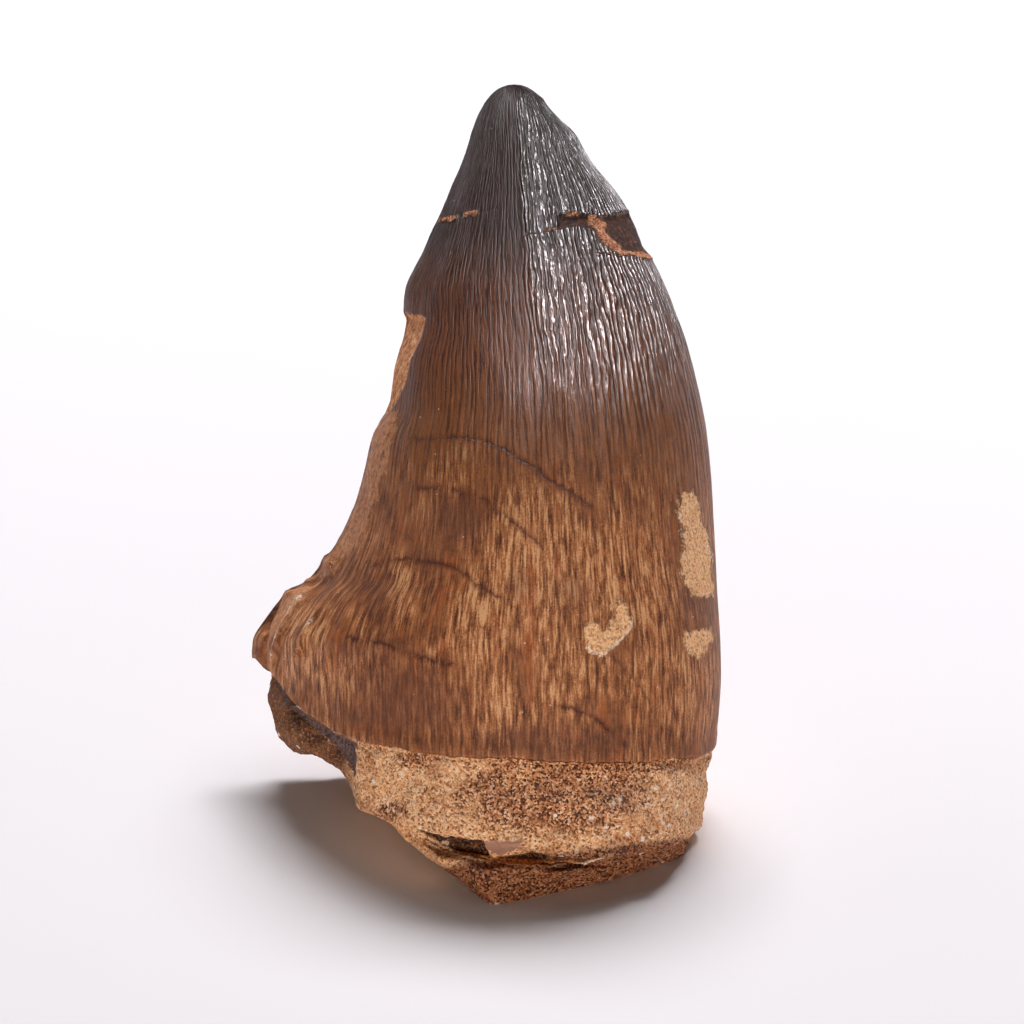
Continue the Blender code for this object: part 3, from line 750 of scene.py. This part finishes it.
    # Places where the enamel is gone, and the sand left on it.
    edge = s.times(s.math("SUBTRACT", s.noise(position, 1700.0, 5.0, 0.75), 0.5), 26.0)
    chip = s.band(s.plus(s.field("chip"), s.times(edge, 0.12)), -0.5, 0.6)
    bare = s.ramp(mottle, [(0.36, rgb(26, 14, 10)), (0.5, rgb(62, 33, 21)), (0.62, rgb(100, 56, 33)), (0.74, rgb(170, 100, 54))])
    colour = s.mix(colour, bare, chip)
    side = s.band(s.plus(s.field("side_chip"), s.times(edge, 0.5)), -1.2, 1.4)
    side = s.math("MAXIMUM", side, s.times(s.band(s.plus(s.field("crust"), edge), -1.5, 3.0), 0.55))
    crust = s.ramp(s.noise(position, 2600.0, 4.0, 0.75), [
        (0.30, rgb(96, 52, 34)), (0.44, rgb(190, 122, 80)), (0.6, rgb(232, 172, 124)), (0.76, rgb(250, 220, 190))])  # fmt: skip
    colour = s.mix(colour, crust, side)
    grain = s.noise(position, 6500.0, 3.0, 0.75)
    sandy = s.ramp(grain, [
        (0.26, rgb(150, 92, 58)), (0.39, rgb(226, 158, 104)), (0.52, rgb(250, 196, 142)), (0.66, rgb(255, 226, 188)),
        (0.76, rgb(255, 246, 234))])  # fmt: skip
    rusted = s.ramp(grain, [
        (0.34, rgb(60, 30, 20)), (0.46, rgb(160, 94, 58)), (0.58, rgb(222, 156, 114)), (0.72, rgb(250, 214, 182))])  # fmt: skip
    sandy = s.multiply(sandy, rgb(160, 112, 84), s.band(mottle, 0.48, 0.36, 0.0, 0.6))
    sand = s.band(s.plus(s.field("sand"), edge), -1.0, 2.2)
    rubble = s.band(s.plus(s.field("rubble"), s.times(edge, 0.6)), -0.4, 1.4)
    colour = s.mix(s.mix(colour, rusted, rubble), sandy, sand)
    white = s.times(s.band(s.plus(s.field("white"), s.times(edge, 0.3)), -1.0, 0.7), s.band(grain, 0.40, 0.55))
    colour = s.mix(colour, rgb(255, 236, 214), s.times(white, 0.8))
    dust = s.add("ShaderNodeTexVoronoi", {"Vector": position, "Scale": 1300.0}, feature="F1")
    specks = s.times(s.band(dust.outputs["Distance"], 0.085, 0.05), s.band(s.split(dust.outputs["Color"])[1], 0.8, 0.84))
    colour = s.mix(colour, rgb(226, 206, 190), s.times(specks, 0.8))
    colour = s.mix(colour, rgb(150, 106, 76), s.field("under"))

    rough = s.math("MAXIMUM", s.math("MAXIMUM", chip, side), s.math("MAXIMUM", sand, rubble))
    calm = s.math("SUBTRACT", 1.0, rough)
    gloss = s.plus(s.band(upper, 0.0, 1.0, 0.55, 0.4), s.times(s.math("SUBTRACT", mottle, 0.5), 0.3))
    gloss = s.math("MAXIMUM", gloss, s.times(rough, 0.92))
    bright = s.math("SUBTRACT", 1.0, s.times(s.field("matte"), 0.86))
    depth = s.times(s.times(s.band(along, 12.0, 34.0, 0.2, 1.0), calm), bright)
    ridged = s.bump(s.times(s.plus(s.times(ridges, 0.85), s.times(threads, 0.3)), depth), 0.17)
    normal = s.bump(s.times(s.plus(s.times(threads, 0.6), s.times(fine, 0.2)), calm), 0.08, 1.0, ridged)
    normal = s.bump(s.plus(s.times(grain, s.times(rough, 0.8)), s.times(grit, 0.3)), 0.08, 1.0, normal)
    normal = s.bump(s.math("SUBTRACT", 1.0, crack), 0.03, 1.0, normal)
    s.put(s.surface.inputs["Base Color"], colour)
    s.put(s.surface.inputs["Roughness"], gloss)
    s.put(s.surface.inputs["Normal"], normal)
    s.surface.inputs["Specular IOR Level"].default_value = 0.2
    tops = s.band(s.plus(s.times(ridges, 0.6), s.times(grit, 0.4)), 0.42, 0.64, 0.03, 1.0)
    shine = s.times(s.plus(s.times(glossy, 0.92), 0.08), s.times(tops, calm))
    s.put(s.surface.inputs["Coat Weight"], s.times(shine, bright))
    s.surface.inputs["Coat Roughness"].default_value = 0.15
    s.surface.inputs["Coat IOR"].default_value = 1.6
    s.put(s.surface.inputs["Coat Normal"], ridged)
    return s.material


def sandstone():
    s = Shader("sandstone")
    position = s.add("ShaderNodeTexCoord", {}).outputs["Object"]
    grains = s.add("ShaderNodeTexVoronoi", {"Vector": position, "Scale": 8500.0}, feature="F1")
    grain, other = s.split(grains.outputs["Color"])[0], s.split(grains.outputs["Color"])[1]
    cloud = s.noise(position, 420.0, 4.0, 0.6)
    speck = s.noise(position, 6000.0, 3.0, 0.75)
    mixed = s.plus(s.times(grain, 0.5), s.times(speck, 0.5))
    light = s.ramp(mixed, [
        (0.24, rgb(140, 84, 54)), (0.38, rgb(224, 160, 108)), (0.6, rgb(250, 202, 152)), (0.8, rgb(255, 240, 214))])
    # The dim ramp holds the rock's darker colours, for its dark grains and for the painted shade under the edges.
    dim = s.ramp(mixed, [
        (0.28, rgb(70, 38, 26)), (0.42, rgb(150, 92, 58)), (0.54, rgb(206, 142, 96)), (0.68, rgb(238, 184, 134)),
        (0.82, rgb(255, 238, 216))])  # fmt: skip
    # Darker rock: real dark grains, and painted shade under the enamel's edge.
    dark = s.band(s.plus(s.field("dark"), s.times(s.math("SUBTRACT", cloud, 0.5), 1.5)), 0.25, 0.65)
    colour = s.mix(light, dim, dark)
    colour = s.multiply(colour, rgb(186, 146, 118), s.band(cloud, 0.52, 0.34, 0.0, 0.5))
    colour = s.multiply(colour, rgb(252, 244, 238))
    # Painted shade: below the ledge the rock takes the darker ramp, dimmed further.
    colour = s.mix(colour, s.multiply(dim, rgb(186, 162, 148)), s.field("foot"))
    lump = s.ramp(speck, [(0.3, rgb(46, 26, 16)), (0.5, rgb(102, 58, 34)), (0.64, rgb(164, 104, 64)), (0.8, rgb(240, 216, 190))])
    colour = s.mix(colour, lump, s.times(s.field("lump"), 0.9))
    # Painted shade on the lump under the flare's edge.
    colour = s.mix(colour, rgb(48, 26, 18), s.times(s.field("lump_shade"), s.band(speck, 0.62, 0.5, 0.3, 1.0)))
    big = s.add("ShaderNodeTexVoronoi", {"Vector": position, "Scale": 2300.0}, feature="F1")
    rare = s.band(s.plus(s.split(big.outputs["Color"])[0], s.times(s.field("white"), 0.1)), 0.965, 0.975)
    pale = s.times(rare, s.band(s.plus(big.outputs["Distance"], s.times(s.math("SUBTRACT", speck, 0.5), 1.2)), 0.4, 0.22))
    colour = s.mix(colour, rgb(252, 240, 226), s.times(pale, 0.85))

    # Under the ledge: a hollow with painted shade, amber stone with a pale edge, and a smooth wedge of the lighter
    # rock.
    edge = s.times(s.math("SUBTRACT", s.noise(position, 2600.0, 3.0, 0.65), 0.5), 4.0)
    # Painted shade in the hollow under the ledge.
    shaded_hollow = s.band(s.plus(s.field("shaded_hollow"), s.times(edge, 0.6)), -0.8, 0.8)
    colour = s.mix(colour, s.mix(rgb(44, 24, 17), rgb(150, 96, 60), s.band(speck, 0.44, 0.64)), shaded_hollow)
    amber = s.band(s.plus(s.field("amber"), s.times(edge, 0.5)), -0.6, 0.6)
    colour = s.mix(colour, s.mix(rgb(130, 76, 38), rgb(230, 160, 92), s.band(speck, 0.4, 0.62)), amber)
    wedge = s.band(s.plus(s.field("wedge"), s.times(edge, 0.4)), -0.4, 0.4)
    colour = s.mix(colour, s.mix(rgb(168, 118, 96), rgb(196, 146, 120), cloud), wedge)
    rim = s.band(s.plus(s.field("rim"), s.times(edge, 0.45)), -0.5, 0.5)
    colour = s.mix(colour, s.mix(rgb(206, 150, 104), rgb(252, 232, 206), s.band(speck, 0.42, 0.58)), s.times(rim, 0.9))
    wall = s.band(s.plus(s.field("wall"), s.times(edge, 0.8)), -0.8, 0.8)
    bone = s.mix(rgb(84, 62, 58), rgb(132, 108, 104), s.band(speck, 0.36, 0.66))
    colour = s.mix(colour, bone, wall)
    s.put(s.surface.inputs["Base Color"], colour)
    s.put(s.surface.inputs["Roughness"], s.band(other, 0.85, 1.0, 0.95, 0.5))
    normal = s.bump(speck, 0.07)
    normal = s.bump(s.band(grains.outputs["Distance"], 0.6, 0.0), 0.03, 1.0, normal)
    s.put(s.surface.inputs["Normal"], normal)
    s.surface.inputs["Specular IOR Level"].default_value = 0.3
    return s.material


def make_floor():
    mesh = bpy.data.meshes.new("floor")
    far = 1.5
    mesh.from_pydata([(-far, -far, 0), (far, -far, 0), (far, far, 0), (-far, far, 0)], [], [(0, 1, 2, 3)])
    floor = bpy.data.objects.new("floor", mesh)
    bpy.context.scene.collection.objects.link(floor)
    s = Shader("paper")
    tone = s.noise(s.add("ShaderNodeTexCoord", {}).outputs["Object"], 40.0, 3.0)
    s.put(s.surface.inputs["Base Color"], s.mix((0.90, 0.89, 0.91, 1.0), (0.92, 0.91, 0.93, 1.0), tone))
    s.surface.inputs["Roughness"].default_value = 0.8
    s.surface.inputs["Specular IOR Level"].default_value = 0.2
    mesh.materials.append(s.material)


def make_light(name, towards, distance, size, energy, colour, middle=(0.0, 0.004, 0.016)):
    """A square soft light, in a direction from the middle of the object, turned to face it."""
    data = bpy.data.lights.new(name, "AREA")
    data.shape = "RECTANGLE"
    data.size, data.size_y = size
    data.energy = energy
    data.color = colour
    light = bpy.data.objects.new(name, data)
    away = Vector(towards).normalized()
    light.location = Vector(middle) + away * distance
    light.rotation_euler = away.to_track_quat("Z", "Y").to_euler()
    light.visible_camera = False
    bpy.context.scene.collection.objects.link(light)
    return light


def make_camera():
    data = bpy.data.cameras.new("camera")
    data.lens, data.sensor_width = LENS, SENSOR
    data.clip_start, data.clip_end = 0.01, 10.0
    camera = bpy.data.objects.new("camera", data)
    aim = to_world((512 - ORIGIN_X) * PIXEL, (ORIGIN_Y - 512) * PIXEL, DISTANCE)
    camera.location = Vector(aim) * MM
    camera.rotation_euler = (math.pi / 2 - LEAN, 0, 0)
    bpy.context.scene.collection.objects.link(camera)
    bpy.context.scene.camera = camera


def make_studio():
    make_light("overhead", (0.14, 0.64, 1.0), 0.6, (0.40, 0.15), 4.35, (0.99, 0.97, 1.0))
    glint = make_light("glint", (0.24, 0.14, 1.0), 0.5, (0.10, 0.46), 7.6, (0.99, 0.92, 0.95))
    glint.visible_diffuse = False
    make_light("left", (-1.0, 0.6, 0.8), 0.6, (0.4, 0.4), 0.25, (1.0, 0.91, 0.83))
    make_light("card", (-0.08, -1.0, 0.0), 0.32, (0.5, 0.03), 0.74, (1.0, 0.94, 0.88))
    world = bpy.data.worlds.new("studio")
    world.use_nodes = True
    world.node_tree.nodes["Background"].inputs["Color"].default_value = (1.0, 0.88, 0.8, 1.0)
    world.node_tree.nodes["Background"].inputs["Strength"].default_value = 0.02
    bpy.context.scene.world = world
    bpy.context.scene.view_settings.view_transform = "Standard"


def dress(piece, material, node):
    piece.data.materials.append(material)
    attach(piece, "root")
    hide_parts(node)


dress(make_crown(), enamel(), "tooth")
dress(make_rock(), sandstone(), "matrix")
make_floor()
make_camera()
make_studio()
